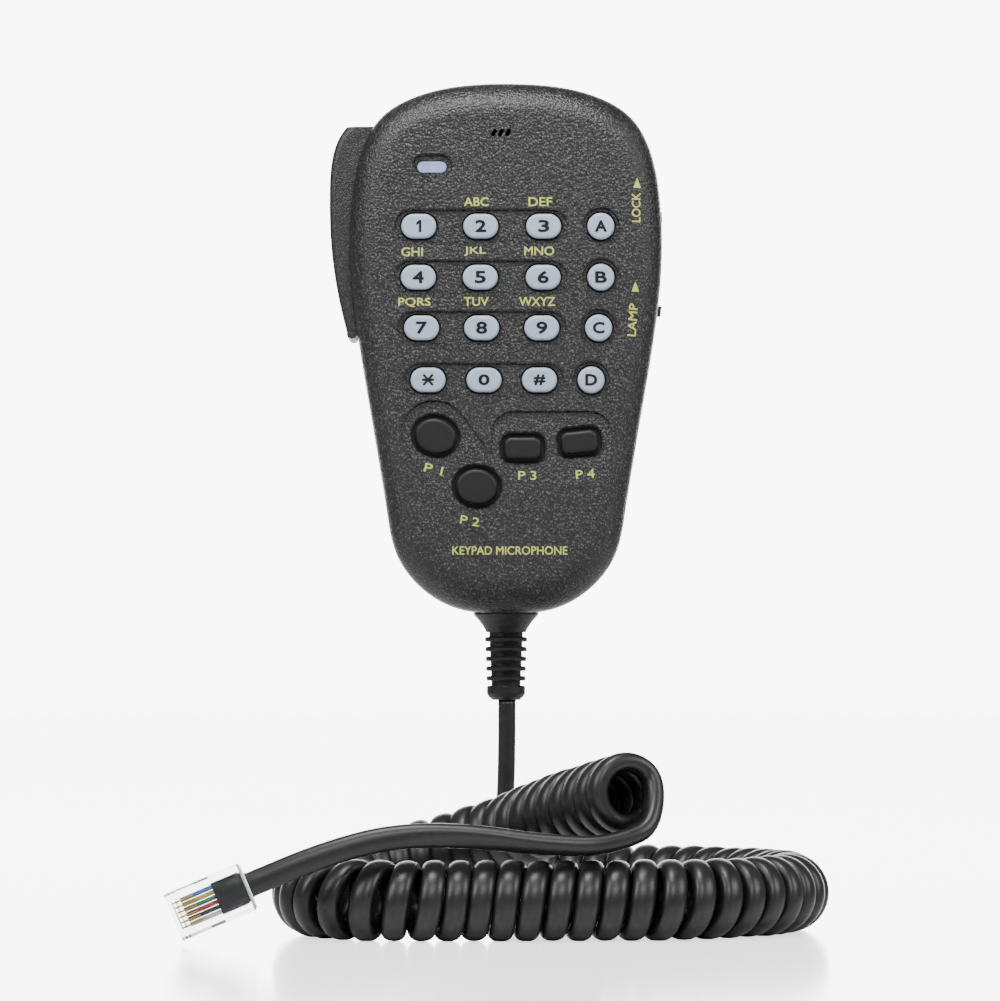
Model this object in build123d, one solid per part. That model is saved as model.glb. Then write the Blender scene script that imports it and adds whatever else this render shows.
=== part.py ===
"""Hand microphone for a two-way radio, with its curly cord and modular plug.

Frame, in millimetres: the origin is the middle of the hanger stud's seat on the rear cover,
+Y points out of the back, +X to the right of someone facing the keypad, and +Z up.
Each node is written to parts/NODE.step.
"""
from build123d import *
import math
import os

# Case
TOP_Z = 41.35            # crown of the case
HEIGHT = 113.55
DEPTH = 29.0             # front face to back
SPLIT_Y = -13.0          # where the two covers meet
FRONT_Y = -DEPTH
BOTTOM_Z = TOP_Z - HEIGHT
HALF_WIDTH = 33.5
FRONT_ROUND = 7.0
BACK_ROUND = 8.5
WALL = 2.0
FACE_WALL = 2.4          # behind the keypad
# Half of the outline: distance from the middle, and below the crown
OUTLINE = [(9.0, 0.42), (16.5, 1.75), (22.4, 4.25), (27.6, 8.1), (30.9, 14.2), (32.7, 22.3),
           (33.5, 33.5), (32.0, 52.9), (29.1, 70.5), (25.6, 91.6), (23.3, 101.5), (18.0, 108.4),
           (10.3, 112.2)]
OUTLINE_STEPS = 16       # points on each side of the closed curve

# Keypad
FACE_TOP_Z = 40.25       # everything on the face is placed by how far it lies below this line
CAP_FRONT_Y = FRONT_Y - 0.3
RECESS_FLOOR_Y = -28.1
FACE_INNER_Y = FRONT_Y + FACE_WALL
FLANGE_FRONT_Y = FACE_INNER_Y + 0.1
FLANGE_BACK_Y = FLANGE_FRONT_Y + 0.6
FLANGE_EDGE = 0.9
STEM_END_Y = FLANGE_BACK_Y + 0.5
KEY_GAP = 0.4            # between a key and its hole
KEY_LONG, KEY_SHORT = 7.45, 5.3
ROUND_KEY = 5.75
RECESS_MARGIN = 1.5
RECESS_SHORT = 7.2
# Each row of keys: how far below FACE_TOP_Z, then the keys and their distances from the middle
KEY_ROWS = [
    (30.2, (("1", -18.6), ("2", -5.4), ("3", 8.0), ("a", 20.2))),
    (41.1, (("4", -18.7), ("5", -5.5), ("6", 7.9), ("b", 20.2))),
    (51.9, (("7", -18.0), ("8", -5.2), ("9", 7.6), ("c", 19.7))),
    (63.0, (("star", -16.6), ("0", -4.7), ("hash", 7.1), ("d", 18.1))),
]
# Programmable keys: place, width, height, tilt in degrees, corner radius (0 for an oval)
P_KEYS = {
    "p1": (-15.0, 74.9, 8.8, 7.5, -16.0, 0.0),
    "p2": (-6.2, 85.7, 8.8, 7.6, -6.0, 0.0),
    "p3": (3.55, 77.5, 7.8, 4.75, 0.0, 1.5),
    "p4": (15.6, 76.2, 7.8, 4.75, 6.0, 1.5),
}
P_WELL_MARGIN = 1.2
P_KEY_GAP = 0.9          # a soft key's hole is wider, and shows its dark flange
P_FLANGE_EDGE = 1.6
P_WELL_FLOOR_Y = -27.8
P_CAP_FRONT_Y = -29.0
TROUGH_DEPTH = 0.85

# Lens and sound slots
LENS_X, LENS_DROP = -15.8, 17.5
LENS_FACE_Y = -28.0
SOUND_X, SOUND_DROP = -1.1, 10.2

# Circuit board
BOARD_FRONT_Y = -24.5
BOARD_BACK_Y = -22.9
BOARD_INSET = 3.6
PAD_THICK = 0.05

# Push-to-talk lever
LEVER_BACK_Y, LEVER_FRONT_Y = -6.0, -20.0
LEVER_INNER_X = -27.6
LEVER_TOP_Z, LEVER_BOTTOM_Z = 32.4, -13.3
POCKET_FLOOR_X = -25.5
POCKET_WALL = 1.2
PIVOT_X, PIVOT_Z = -30.5, -10.0
PIN_RADIUS = 1.0
RUN_GAP = 0.05           # radial, for anything that turns or slides in a hole
PLUNGER_Y, PLUNGER_Z = -16.5, 22.0

# Side sliders and top buttons
SIDE_Y = -17.6
LOCK_Z, LAMP_Z = 13.0, -7.3
LOCK_PROUD, LAMP_PROUD = 0.3, 0.8
BUTTON_X = 10.0

# Screws
CASE_SCREWS = [(-20.5, 31.0), (20.5, 31.0), (-17.0, -57.0), (17.0, -57.0)]
BOARD_SCREWS = [(0.0, 19.6), (0.0, -57.0)]

# Hanger stud
NECK_RADIUS, NECK_LENGTH = 3.0, 3.2
HEAD_RADIUS, HEAD_LENGTH = 6.0, 2.0

# Cord
CORD_Y = -13.0
CORD_D = 4.9             # the broad side of the oval cord
RELIEF_TOP_Z = -67.2
RELIEF_NECK = 4.2        # radius where it passes through the case
RELIEF_END_Z = -90.9
COIL_D = 15.7            # over the turns of the curly stretch
FLOOR_Z = -137.6         # what the coil lies on
COIL_REST = COIL_D / 2
# The curly stretch's middle line: x, y, and height over what it lies on
COIL_ROUTE = [(-6.0, -19.2, COIL_REST), (15.0, -18.6, COIL_REST), (37.0, -20.2, COIL_REST),
              (58.0, -41.0, COIL_REST), (58.6, -71.0, COIL_REST), (38.0, -93.0, COIL_REST),
              (12.0, -95.6, COIL_REST), (-7.0, -95.0, COIL_REST), (-25.0, -96.6, COIL_REST),
              (-38.6, -82.0, COIL_REST), (-38.0, -62.0, 8.8), (-23.0, -48.6, 12.6),
              (-3.0, -49.8, 18.0), (11.0, -67.0, 24.6), (24.5, -92.0, 29.3)]
# The plug lead's middle line, from the end of the curly stretch to the plug
LEAD_ROUTE = [(29.9, -90.3, 28.4), (29.4, -94.0, 22.6), (21.6, -98.6, 18.6), (8.0, -99.6, 18.9),
              (-8.0, -99.8, 20.9), (-23.0, -101.2, 20.8), (-37.0, -103.4, 16.9), (-50.6, -105.0, 11.2)]

# Plug, in its own frame: x across the contacts, y from contacts to latch, z towards the nose
PLUG_NOSE = (-66.2, -106.4, 4.6)
PLUG_WIDTH, PLUG_THICK, PLUG_LENGTH = 9.65, 6.6, 15.6
CONTACT_PITCH = 1.02
CONTACTS = 6
LATCH_WIDTH = 3.25
LATCH_HINGE_Y, LATCH_HINGE_Z = 0.75, 1.4    # above the housing, and back from its nose
LATCH_HINGE_RADIUS = 0.6


def face_plane(y):
    """A drawing plane that faces the user, at depth y, with x to the right and y up."""
    return Plane((0, y, 0), x_dir=(1, 0, 0), z_dir=(0, -1, 0))


def slab(sketch, back_y, front_y):
    """The sketch, drawn facing the user, as a solid from back_y forward to front_y."""
    return extrude(face_plane(back_y) * sketch, amount=back_y - front_y)


def block(x0, x1, y0, y1, z0, z1):
    """A box between the given limits."""
    return Pos((x0 + x1) / 2, (y0 + y1) / 2, (z0 + z1) / 2) * Box(x1 - x0, y1 - y0, z1 - z0)


def rod(x, z, radius, back_y, front_y):
    """A round bar that runs front to back."""
    return slab(Pos(x, z) * Circle(radius), back_y, front_y)


def bar_x(y, z, radius, x0, x1):
    """A round bar that runs left to right."""
    return extrude(Plane((x0, y, z), x_dir=(0, 1, 0), z_dir=(1, 0, 0)) * Circle(radius), amount=x1 - x0)


def bar_z(x, y, radius, z0, z1):
    """A round bar that runs up and down."""
    return Pos(x, y, z0) * extrude(Circle(radius), amount=z1 - z0)


def together(solids):
    """Several solids as one group."""
    return Compound(children=[piece for solid in solids for piece in solid.solids()])


def case_outline(inset=0.0):
    """The case's outline, or the same outline drawn in by inset all round."""
    middle_z = TOP_Z - HEIGHT / 2
    across, upward = 1 - inset / HALF_WIDTH, 1 - inset / (HEIGHT / 2)
    right = [(x * across, middle_z + (TOP_Z - drop - middle_z) * upward) for x, drop in OUTLINE]
    crown = (0, middle_z + HEIGHT / 2 * upward)
    foot = (0, middle_z - HEIGHT / 2 * upward)
    half = Spline([crown] + right + [foot], tangents=((1, 0), (-1, 0)))
    right_side = [half @ (step / OUTLINE_STEPS) for step in range(OUTLINE_STEPS + 1)]
    left_side = [(-point.X, point.Y) for point in reversed(right_side[1:-1])]
    return make_face(Spline(right_side + left_side, periodic=True))


def case_solid():
    """The outside of the closed case."""
    solid = slab(case_outline(), 0, FRONT_Y)
    solid = fillet(solid.edges().group_by(Axis.Y)[0], FRONT_ROUND)
    return fillet(solid.edges().group_by(Axis.Y)[-1], BACK_ROUND)


def case_hollow():
    """The space inside the closed case."""
    solid = slab(case_outline(WALL), -WALL, FACE_INNER_Y)
    solid = fillet(solid.edges().group_by(Axis.Y)[0], FRONT_ROUND / 2)
    return fillet(solid.edges().group_by(Axis.Y)[-1], BACK_ROUND - WALL)


def key_shape(name, grow=0.0):
    """A keypad key's outline at its own centre, grown all round."""
    if name in "abcd":
        return Circle(ROUND_KEY / 2 + grow)
    return SlotOverall(KEY_LONG + 2 * grow, KEY_SHORT + 2 * grow)


def p_key_shape(name, grow=0.0):
    """A programmable key's outline at its own centre, grown all round."""
    _, _, width, height, tilt, corner = P_KEYS[name]
    if corner:
        return Rot(0, 0, tilt) * RectangleRounded(width + 2 * grow, height + 2 * grow, corner + grow)
    return Rot(0, 0, tilt) * Ellipse(width / 2 + grow, height / 2 + grow)


def hole_gap(shape):
    """How much wider than the key its hole is."""
    return KEY_GAP if shape is key_shape else P_KEY_GAP


def flange_edge(shape):
    """How far the key's flange reaches past its cap."""
    return FLANGE_EDGE if shape is key_shape else P_FLANGE_EDGE


def all_keys():
    """Every key as (name, x, z, function that draws its outline)."""
    keys = [(name, x, FACE_TOP_Z - drop, key_shape) for drop, row in KEY_ROWS for name, x in row]
    return keys + [(name, spec[0], FACE_TOP_Z - spec[1], p_key_shape) for name, spec in P_KEYS.items()]


def lipped_pocket(shape, x, z, floor_y, lip=0.3):
    """A pocket sunk in the front face, with a small chamfer round its mouth."""
    pocket = slab(Pos(x, z) * shape(0.0), floor_y, FRONT_Y - 1)
    mouth = slab(Pos(x, z) * shape(lip / 2), FRONT_Y + lip / 2, FRONT_Y - 1)
    return [pocket, mouth, slab(Pos(x, z) * shape(lip), FRONT_Y + lip / 4, FRONT_Y - 1)]


def row_recesses():
    """The long recess that each row's three keys share, and the round one of its lettered key."""
    cuts = []
    for drop, row in KEY_ROWS:
        left, right = row[0][1], row[2][1]
        long_side = right - left + KEY_LONG + 2 * RECESS_MARGIN

        def long_shape(grow):
            return SlotOverall(long_side + 2 * grow, RECESS_SHORT + 2 * grow)

        def round_shape(grow):
            return Circle(ROUND_KEY / 2 + 1.15 + grow)

        cuts += lipped_pocket(long_shape, (left + right) / 2, FACE_TOP_Z - drop, RECESS_FLOOR_Y)
        cuts += lipped_pocket(round_shape, row[3][1], FACE_TOP_Z - drop, RECESS_FLOOR_Y)
    return cuts


def p_wells():
    """A deep well round each programmable key."""
    cuts = []
    for name, spec in P_KEYS.items():
        cuts += lipped_pocket(lambda grow, key=name: p_key_shape(key, P_WELL_MARGIN + grow),
                              spec[0], FACE_TOP_Z - spec[1], P_WELL_FLOOR_Y)
    return cuts


def sloping_trough(outline, top_z, length):
    """A shallow cut, TROUGH_DEPTH deep at top_z, that runs out to nothing length below it."""
    slope = math.atan2(TROUGH_DEPTH, length)
    floor = Plane((0, FRONT_Y + TROUGH_DEPTH, top_z), x_dir=(1, 0, 0),
                  z_dir=(0, -math.cos(slope), math.sin(slope)))
    return extrude(floor * outline, amount=3 * TROUGH_DEPTH)


def troughs():
    """The two shallow dished areas that the programmable keys stand in."""
    oval_top = FACE_TOP_Z - 67.4
    ovals = make_hull((Pos(-15.2, -7.2) * Circle(7.3)).edges() + (Pos(-6.0, -20.0) * Circle(7.3)).edges())
    bars_top = FACE_TOP_Z - 69.6
    bars = Pos(9.7, -10.0) * RectangleRounded(26.0, 20.0, 5.0)
    return [sloping_trough(ovals, oval_top, 24.0), sloping_trough(bars, bars_top, 16.0)]


def lens_shape(grow=0.0):
    """The small lens's outline."""
    return SlotOverall(6.3 + 2 * grow, 2.5 + 2 * grow)


def lens_recess():
    """The sunk window round the lens, deeper above it than below."""
    z = FACE_TOP_Z - LENS_DROP
    window = slab(Pos(LENS_X, z + 0.2) * SlotOverall(8.5, 4.9), FRONT_Y + 1.1, FRONT_Y - 1)
    mouth = slab(Pos(LENS_X, z + 0.2) * SlotOverall(9.0, 5.4), FRONT_Y + 0.2, FRONT_Y - 1)
    opening = slab(Pos(LENS_X, z) * lens_shape(KEY_GAP / 3), FACE_INNER_Y + 0.1, FRONT_Y)
    return [window, mouth, opening]


def sound_slots():
    """Three slanting slots in front of the microphone capsule."""
    slot = Rot(0, 0, 62) * SlotOverall(1.75, 0.85)
    return [slab(Pos(SOUND_X + step * 1.5, FACE_TOP_Z - SOUND_DROP) * slot, FACE_INNER_Y + 0.1, FRONT_Y - 1)
            for step in (-1, 0, 1)]


def lever_pocket(grow=0.0):
    """The space in the case's left side that the push-to-talk lever moves in."""
    return block(-HALF_WIDTH - 9, POCKET_FLOOR_X + grow, LEVER_FRONT_Y - 0.4 - grow,
                 LEVER_BACK_Y + 0.4 + grow, LEVER_BOTTOM_Z - 1 - grow, LEVER_TOP_Z + 1 + grow)


def slider_window(z):
    """The window in the right side that a slide switch's knob stands in."""
    return block(HALF_WIDTH - 5, HALF_WIDTH + 3, SIDE_Y - 1.6, SIDE_Y + 1.6, z - 2.2, z + 4.2)


def button_opening(x, grow=0.0):
    """The opening in the top edge for an up or down button."""
    sketch = Pos(x, SIDE_Y) * RectangleRounded(8.0 + 2 * grow, 4.0 + 2 * grow, 1.2 + grow)
    return Pos(0, 0, TOP_Z - 3.6) * extrude(sketch, amount=6)


def relief_socket():
    """The hole at the foot of the case that grips the strain relief."""
    throat = bar_z(0, CORD_Y, RELIEF_NECK, BOTTOM_Z - 1, BOTTOM_Z + 5)
    return [throat, bar_z(0, CORD_Y, 7.1, BOTTOM_Z - 2, BOTTOM_Z + 1)]


def pocket_liner(case_side):
    """The walls that close the lever's pocket off from the inside of the case."""
    return (lever_pocket(POCKET_WALL) & case_side) - lever_pocket()


def side_openings():
    """Everything that opens through the sides of the case."""
    cuts = [lever_pocket(), slider_window(LOCK_Z), slider_window(LAMP_Z)]
    cuts += [button_opening(x, KEY_GAP) for x in (-BUTTON_X, BUTTON_X)]
    cuts += relief_socket()
    cuts.append(bar_x(PLUNGER_Y, PLUNGER_Z, 1.2 + RUN_GAP, POCKET_FLOOR_X - 1, POCKET_FLOOR_X + 2))
    cuts.append(rod(PIVOT_X, PIVOT_Z, PIN_RADIUS, LEVER_BACK_Y + 1.6, LEVER_FRONT_Y - 1.6))
    return cuts


def front_cover():
    """The front shell: keypad face, side walls, screw posts and the front half of each opening."""
    half_space = block(-60, 60, FRONT_Y - 5, SPLIT_Y, BOTTOM_Z - 20, TOP_Z + 20)
    outside = case_solid() & half_space
    cover = outside - case_hollow()
    cover += pocket_liner(outside)
    posts = [rod(x, z, 3.0, SPLIT_Y, FACE_INNER_Y - 0.2) for x, z in CASE_SCREWS]
    posts += [rod(x, z, 2.2, BOARD_FRONT_Y, FACE_INNER_Y - 0.2) for x, z in BOARD_SCREWS]
    for post in posts:
        cover += post
    cuts = side_openings() + row_recesses() + p_wells() + troughs() + lens_recess() + sound_slots()
    cuts += [slab(Pos(x, z) * shape(name, hole_gap(shape)), FACE_INNER_Y + 0.1, FRONT_Y - 1)
             for name, x, z, shape in all_keys()]
    cuts += [rod(x, z, 1.05, SPLIT_Y, -22.5) for x, z in CASE_SCREWS]
    cuts += [rod(x, z, 1.05, BOARD_FRONT_Y, FACE_INNER_Y + 0.2) for x, z in BOARD_SCREWS]
    for cut in cuts:
        cover -= cut
    return cover


def rear_cover():
    """The rear shell: back, side walls, screw posts and the boss behind the hanger stud."""
    half_space = block(-60, 60, SPLIT_Y, 5, BOTTOM_Z - 20, TOP_Z + 20)
    outside = case_solid() & half_space
    cover = outside - case_hollow()
    cover += pocket_liner(outside)
    for x, z in CASE_SCREWS:
        cover += rod(x, z, 3.2, -WALL + 0.5, SPLIT_Y)
    cover += rod(0, 0, 4.0, -WALL + 0.5, -9)
    cuts = side_openings()
    for x, z in CASE_SCREWS:
        cuts += [rod(x, z, 1.4, 1, SPLIT_Y - 1), rod(x, z, 2.4, 1, -7.0)]
    cuts.append(rod(0, 0, 1.3, 1, -8.2))
    for cut in cuts:
        cover -= cut
    return cover


def key_solid(outline, x, z, cap_front_y, round_over, edge):
    """A key: cap through the face, a flange behind it, and a stem towards its contact."""
    cap = slab(outline(0.0), FLANGE_BACK_Y, cap_front_y)
    cap = fillet(cap.edges().group_by(Axis.Y)[0], round_over)
    flange = slab(outline(edge), FLANGE_BACK_Y, FLANGE_FRONT_Y)
    stem = rod(0, 0, 1.6, STEM_END_Y, FLANGE_BACK_Y)
    return Pos(x, 0, z) * (cap + flange + stem)


def keys():
    """All twenty keys."""
    made = {}
    for name, x, z, shape in all_keys():
        on_pad = shape is key_shape
        front_y, round_over = (CAP_FRONT_Y, 0.7) if on_pad else (P_CAP_FRONT_Y, 0.8)
        made["key_" + name] = key_solid(lambda grow, key=name, draw=shape: draw(key, grow), x, z,
                                        front_y, round_over, flange_edge(shape))
    return made


def keypad_mat():
    """The rubber sheet between the keys, with a rim that rests on the board."""
    area = case_outline(7.0) & (Pos(0, -18.4) * Rectangle(80, 67.2))
    sheet = slab(area, FLANGE_BACK_Y, FLANGE_FRONT_Y)
    inner = case_outline(8.0) & (Pos(0, -18.4) * Rectangle(80, 65.2))
    mat = sheet + slab(area - inner, BOARD_FRONT_Y, FLANGE_FRONT_Y)
    for name, x, z, shape in all_keys():
        mat -= slab(Pos(x, z) * shape(name, flange_edge(shape) + 0.2), BOARD_FRONT_Y, FLANGE_FRONT_Y - 1)
    return mat


def board_outline():
    """The circuit board's outline with its holes."""
    outline = case_outline(BOARD_INSET)
    for x, z in CASE_SCREWS:
        outline -= Pos(x, z) * Circle(3.5)
    for x, z in BOARD_SCREWS:
        outline -= Pos(x, z) * Circle(1.2)
    return outline - Pos(SOUND_X, FACE_TOP_Z - SOUND_DROP) * Circle(4.8)


def small_components():
    """Chip resistors, capacitors and two small cans on the back of the board."""
    chips = [block(x - 1.0, x + 1.0, BOARD_BACK_Y, BOARD_BACK_Y + 0.7, z - 0.6, z + 0.6)
             for x in (-14, -10, 14, 18) for z in (4, 0, -20, -24, -28)]
    cans = [rod(x, -33, 2.0, BOARD_BACK_Y + 5, BOARD_BACK_Y) for x in (-12, 12)]
    return together(chips + cans)


def light_block(x, z):
    """One small light on the front of the board."""
    return block(x - 0.8, x + 0.8, BOARD_FRONT_Y - 0.9, BOARD_FRONT_Y, z - 0.5, z + 0.5)


def electronics():
    """The board and what is soldered to it."""
    back = BOARD_BACK_Y
    lights = [light_block(name_x[number][1] / 2 + name_x[number + 1][1] / 2, FACE_TOP_Z - drop)
              for drop, name_x in KEY_ROWS for number in (0, 1)]
    pads = [rod(x, z, 2.0, BOARD_FRONT_Y, BOARD_FRONT_Y - PAD_THICK) for _, x, z, _ in all_keys()]
    chip = block(3, 13, back, back + 1.4, -16, -6)
    pins = [block(x, x + 0.4, back, back + 0.5, z, z + 1.2)
            for x in (3.6, 5.4, 7.2, 9.0, 10.8, 12.0) for z in (-17.2, -6.0)]
    top_switches = [block(x - 3, x + 3, -21, -14.4, 28.6, 33.4) + bar_z(x, SIDE_Y, 1.4, 33.4, TOP_Z - 5.6)
                    for x in (-BUTTON_X, BUTTON_X)]
    side_bodies = [block(25.2, 28.6, back, -14.2, z - 4.6, z + 5.6) for z in (LOCK_Z, LAMP_Z)]
    return {
        "main_board": slab(board_outline(), back, BOARD_FRONT_Y),
        "contact_pads": together(pads),
        "backlight_leds": together(lights),
        "status_led": light_block(LENS_X, FACE_TOP_Z - LENS_DROP),
        "controller_chip": together([chip] + pins),
        "crystal": slab(Pos(-7, -12) * SlotOverall(10.5, 4.4), back + 3.4, back),
        "small_components": small_components(),
        "cord_connector": block(-6.2, 6.2, back, -17.0, -51.0, -45.0),
        "up_down_switches": together(top_switches),
        "side_switches": together(side_bodies),
    }


def microphone():
    """The sound capsule in its rubber boot."""
    z = FACE_TOP_Z - SOUND_DROP
    boot = rod(SOUND_X, z, 4.4, -19.6, FACE_INNER_Y) - rod(SOUND_X, z, 3.0, -19.6, -25.6)
    boot -= rod(SOUND_X, z, 2.2, -20, FACE_INNER_Y - 1)
    return {"mic_boot": boot, "mic_capsule": rod(SOUND_X, z, 3.0, -20.4, -25.6)}


def lens():
    """The light pipe in the window."""
    z = FACE_TOP_Z - LENS_DROP
    pipe = slab(Pos(LENS_X, z) * lens_shape(), FACE_INNER_Y, LENS_FACE_Y)
    pipe = fillet(pipe.edges().group_by(Axis.Y)[0], 0.25)
    return pipe + slab(Pos(LENS_X, z) * lens_shape(0.8), BOARD_FRONT_Y - 1.0, FACE_INNER_Y)


def lever_outline():
    """The lever seen from the front: a bowed outer edge, a flat top and a rounded foot."""
    outer = Spline((-34.3, LEVER_TOP_Z), (-35.9, 30.2), (-37.3, 26.2), (-38.0, 17.5), (-37.8, 9.0),
                   (-36.9, 0.5), (-35.4, -7.3), (-34.2, -12.0))
    top = Line((LEVER_INNER_X, LEVER_TOP_Z), (-34.3, LEVER_TOP_Z))
    foot = ThreePointArc((-34.2, -12.0), (-33.4, LEVER_BOTTOM_Z), (-32.2, LEVER_BOTTOM_Z + 0.5))
    heel = Line((-32.2, LEVER_BOTTOM_Z + 0.5), (LEVER_INNER_X, -11.4))
    inner = Line((LEVER_INNER_X, -11.4), (LEVER_INNER_X, LEVER_TOP_Z))
    return make_face([outer, top, foot, heel, inner])


def ptt_parts():
    """The push-to-talk lever with its pin, spring, plunger and switch."""
    lever = slab(lever_outline(), LEVER_BACK_Y, LEVER_FRONT_Y)
    long_edges = lever.edges().filter_by(GeomType.BSPLINE)
    lever = fillet(long_edges, 1.6)
    lever -= rod(PIVOT_X, PIVOT_Z, PIN_RADIUS + RUN_GAP, 0, -30)
    spring_z, spring_y = 8.0, CORD_Y
    lever -= bar_x(spring_y, spring_z, 2.8, LEVER_INNER_X - 4.2, LEVER_INNER_X + 1)
    coil = Helix(pitch=1.15, height=5.2, radius=1.9)
    wire = sweep(Plane(coil @ 0, z_dir=coil % 0) * Circle(0.22), path=coil, is_frenet=True)
    spring = Pos(LEVER_INNER_X - 3.8, spring_y, spring_z) * Rot(0, 90, 0) * wire
    plunger = bar_x(PLUNGER_Y, PLUNGER_Z, 1.2, LEVER_INNER_X + 0.1, -22.9)
    plunger += bar_x(PLUNGER_Y, PLUNGER_Z, 2.0, -24.1, -22.9)
    switch = block(-20.9, -17.4, BOARD_BACK_Y, -13.6, 19.2, 24.8)
    switch += bar_x(PLUNGER_Y, PLUNGER_Z, 1.4, -21.35, -20.9)
    return {
        "ptt_lever": lever,
        "ptt_pivot_pin": rod(PIVOT_X, PIVOT_Z, PIN_RADIUS, LEVER_BACK_Y + 1.5, LEVER_FRONT_Y - 1.5),
        "ptt_spring": spring,
        "ptt_plunger": plunger,
        "ptt_switch": switch,
    }


def slider(z, proud, outside):
    """A slide switch's knob, flush with the curved side but for its nub, which stands proud."""
    plate = block(29.0, 30.0, SIDE_Y - 2.6, SIDE_Y + 2.6, z - 2.4, z + 2.4)
    stalk = block(30.0, HALF_WIDTH + 3, SIDE_Y - 1.4, SIDE_Y + 1.4, z - 1.9, z + 1.9) & outside
    nub = block(30.5, HALF_WIDTH + 3, SIDE_Y - 1.2, SIDE_Y + 1.2, z - 1.1, z + 1.1) & outside
    return stalk + Pos(proud, 0, 0) * nub + plate


def push_button(x, outside):
    """A button whose top follows the case's crown, just below it."""
    cap = (button_opening(x) & outside).moved(Location((0, 0, -0.25)))
    return cap + block(x - 5.0, x + 5.0, SIDE_Y - 2.8, SIDE_Y + 2.8, TOP_Z - 5.0, TOP_Z - 3.85)


def hanger():
    """The round stud on the back that hangs in a clip, and its screw."""
    top = NECK_LENGTH + HEAD_LENGTH
    stud = rod(0, 0, NECK_RADIUS, NECK_LENGTH, 0) + rod(0, 0, HEAD_RADIUS, top, NECK_LENGTH)
    stud -= rod(0, 0, 1.6, top + 1, -1)
    stud -= rod(0, 0, 2.9, top + 1, top - 1.6)
    screw = rod(0, 0, 2.7, top - 0.2, top - 1.6) + rod(0, 0, 1.3, top - 1.6, -7.4)
    screw -= block(-0.35, 0.35, top - 0.9, top, -3, 3) + block(-3, 3, top - 0.9, top, -0.35, 0.35)
    return {"hanger_stud": stud, "hanger_screw": screw}


def screw(x, z, seat_y, head_radius, shank_radius, tip_y):
    """A pan-head screw put in from the back, with a cross in its head."""
    head = rod(x, z, head_radius, seat_y + 1.5, seat_y)
    head = fillet(head.edges().group_by(Axis.Y)[-1], 0.5)
    made = head + rod(x, z, shank_radius, seat_y, tip_y)
    made -= block(x - 0.3, x + 0.3, seat_y + 0.6, seat_y + 2, z - 1.1, z + 1.1)
    return made - block(x - 1.1, x + 1.1, seat_y + 0.6, seat_y + 2, z - 0.3, z + 0.3)


def screws():
    """The screws that close the case and hold the board."""
    return {
        "case_screws": together([screw(x, z, -7.0, 2.2, 1.0, -22.0) for x, z in CASE_SCREWS]),
        "board_screws": together([screw(x, z, BOARD_BACK_Y, 1.9, 1.0, -26.2) for x, z in BOARD_SCREWS]),
    }


def strain_relief():
    """The ribbed rubber sleeve: flange and neck in the case, collar, five ribs and an end bulb.

    Each groove has a window at the front and one at the back, which let the sleeve bend."""
    collar_z = BOTTOM_Z + 1.0
    flange_z = RELIEF_TOP_Z - 1.9
    pitch, rib, groove = 2.1, 4.6, 3.65
    ribs_z = BOTTOM_Z - 5.1
    line = [(0, RELIEF_TOP_Z), (6.0, RELIEF_TOP_Z), (6.0, flange_z), (RELIEF_NECK, flange_z),
            (RELIEF_NECK, collar_z), (7.0, collar_z), (7.0, BOTTOM_Z - 0.3), (5.75, BOTTOM_Z - 1.7),
            (4.95, BOTTOM_Z - 2.8), (4.5, BOTTOM_Z - 3.6), (4.3, BOTTOM_Z - 4.1), (groove, BOTTOM_Z - 4.1)]
    for number in range(5):
        top, radius, floor = ribs_z - number * pitch, rib - 0.09 * number, groove - 0.1 * number
        line += [(floor, top), (radius - 0.25, top), (radius, top - 0.25), (radius, top - 0.8),
                 (radius - 0.25, top - 1.05), (floor - 0.1, top - 1.05)]
    bulb = ribs_z - 5 * pitch
    line += [(groove - 0.5, bulb), (3.95, bulb), (4.15, bulb - 0.3), (4.15, bulb - 1.7), (3.75, bulb - 2.4),
             (2.9, RELIEF_END_Z), (0, RELIEF_END_Z)]
    half = make_face(Polyline(*[(r, z) for r, z in line], close=True))
    sleeve = revolve(Plane.XZ * half, Axis.Z)
    for number in range(5):
        low = ribs_z - number * pitch
        sleeve -= block(-0.5, 2.6, -5, -2.5, low + 0.1, low + 0.95)
        sleeve -= block(-2.6, 0.5, 2.5, 5, low + 0.1, low + 0.95)
    return Pos(0, CORD_Y, 0) * sleeve


def corner_radii(points):
    """One arc radius for each corner of a cord's route, as large as its two runs allow."""
    radii = []
    for before, corner, after in zip(points, points[1:], points[2:]):
        arriving, leaving = Vector(corner) - Vector(before), Vector(after) - Vector(corner)
        half_turn = math.radians(arriving.get_angle(leaving)) / 2
        radii.append(0.45 * min(arriving.length, leaving.length) / math.tan(half_turn))
    return radii


def tube(name, points, diameter):
    """A round tube along straight runs joined by arcs; prints what shows that it is sound."""
    radii = corner_radii(points)
    path = FilletPolyline(*points, radius=radii)
    section = Plane(path @ 0, z_dir=path % 0) * Circle(diameter / 2)
    solid = sweep(section, path=path)
    expected = math.pi * diameter ** 2 / 4 * path.length
    print(name, "radii", [round(r, 1) for r in radii], "length", round(path.length, 1),
          "volume over section times length", round(solid.volume / expected, 4))
    return solid


def on_floor(route):
    """A route whose heights are measured from the surface that the coil lies on."""
    return [(x, y, FLOOR_Z + height) for x, y, height in route]


def cords():
    """The straight lead below the relief, the curly stretch and the lead to the plug."""
    coil_start = COIL_ROUTE[0]
    lead_end_z = FLOOR_Z + coil_start[2]
    return {
        "cord_lead": bar_z(0, CORD_Y, CORD_D / 2, lead_end_z, RELIEF_END_Z),
        "curly_cord": tube("curly_cord", on_floor(COIL_ROUTE), COIL_D),
        "plug_lead": tube("plug_lead", on_floor(LEAD_ROUTE), CORD_D),
    }


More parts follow.
